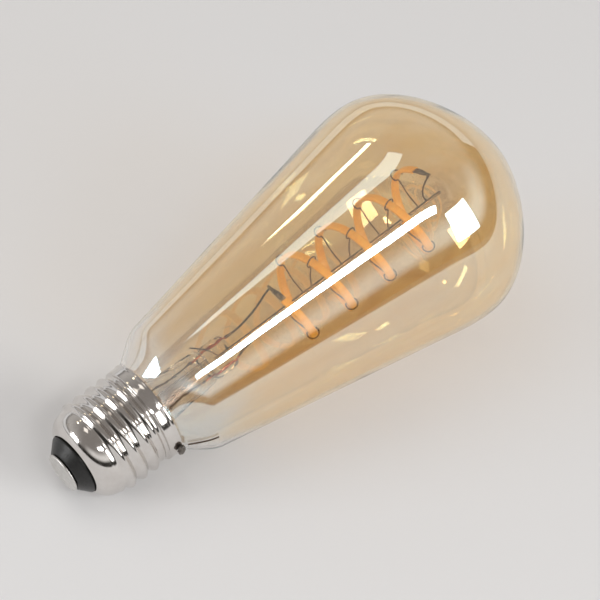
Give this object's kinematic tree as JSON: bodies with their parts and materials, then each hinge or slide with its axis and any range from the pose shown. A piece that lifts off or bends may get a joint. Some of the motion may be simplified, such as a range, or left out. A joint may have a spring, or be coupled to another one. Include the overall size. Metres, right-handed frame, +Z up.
{
  "type": "smart light bulb",
  "caption": "Gold-tinted teardrop glass lamp with a spiral light strip on a glass stem, a driver in its screw cap, lying on its side.",
  "frame": {"origin": "on the floor, under the middle of the lying lamp's bounding box", "axes": "+Z up, +X along the floor towards the glass crown; the lamp's own axis lies in the XZ plane and climbs 11 degrees towards +X"},
  "size_m": [0.1386, 0.0636, 0.064],
  "materials": {
    "amber_glass": "clear glass with a thin gold-amber coating, very smooth",
    "clear_glass": "clear drawn glass",
    "nickel_plate": "bright nickel plate on thin rolled brass",
    "black_insulator": "black fused glass, satin",
    "contact_metal": "tinned contact metal, lightly marked",
    "cement": "dry capping cement",
    "solder": "dull lead-free solder",
    "seal_metal": "copper-clad seal wire, dark red where it lies in glass",
    "lead_metal": "dark nickel-iron wire",
    "filament_silicone": "orange phosphor silicone over a strip of light-emitting chips",
    "board_laminate": "green solder mask on glass-epoxy board",
    "chip_resin": "black moulded resin",
    "capacitor_sleeve": "dark shrink sleeve",
    "ferrite": "dark sintered ferrite with a copper winding",
    "shield_metal": "tinned sheet can",
    "film_resin": "dipped resin",
    "ceramic_body": "coated ceramic rod",
    "sleeve_plastic": "thin white insulating film",
    "wire_cover": "thin insulated wire"
  },
  "bodies": {
    "root": {"anchor_wire": "lead_metal", "bridge_rectifier": "chip_resin", "cap_cement": "cement", "cap_insulator": "black_insulator", "cap_shell": "nickel_plate", "center_contact": "contact_metal", "choke_coil": "ferrite", "driver_board": "board_laminate", "driver_chip": "chip_resin", "exhaust_tube": "clear_glass", "filament_tab_lower": "lead_metal", "filament_tab_upper": "lead_metal", "film_capacitor": "film_resin", "fuse_resistor": "ceramic_body", "glass_envelope": "amber_glass", "insulating_sleeve": "sleeve_plastic", "led_filament": "filament_silicone", "live_wire": "wire_cover", "neutral_wire": "wire_cover", "outer_lead_lower": "lead_metal", "outer_lead_upper": "lead_metal", "radio_board": "board_laminate", "radio_pin_header": "chip_resin", "radio_shield": "shield_metal", "rim_solder": "solder", "rim_wire_tail": "lead_metal", "rod_lead": "lead_metal", "seal_wire_lower": "seal_metal", "seal_wire_upper": "seal_metal", "short_lead": "lead_metal", "smoothing_capacitor": "capacitor_sleeve", "stem_flare": "clear_glass", "stem_press": "clear_glass", "support_hook_01": "lead_metal", "support_hook_02": "lead_metal", "support_hook_03": "lead_metal", "support_hook_04": "lead_metal", "support_hook_05": "lead_metal", "support_hook_06": "lead_metal", "support_hook_07": "lead_metal", "support_hook_08": "lead_metal", "support_hook_09": "lead_metal", "support_hook_10": "lead_metal", "support_hook_11": "lead_metal", "support_rod": "lead_metal", "tab_lead": "lead_metal"}
  },
  "joints": []
}
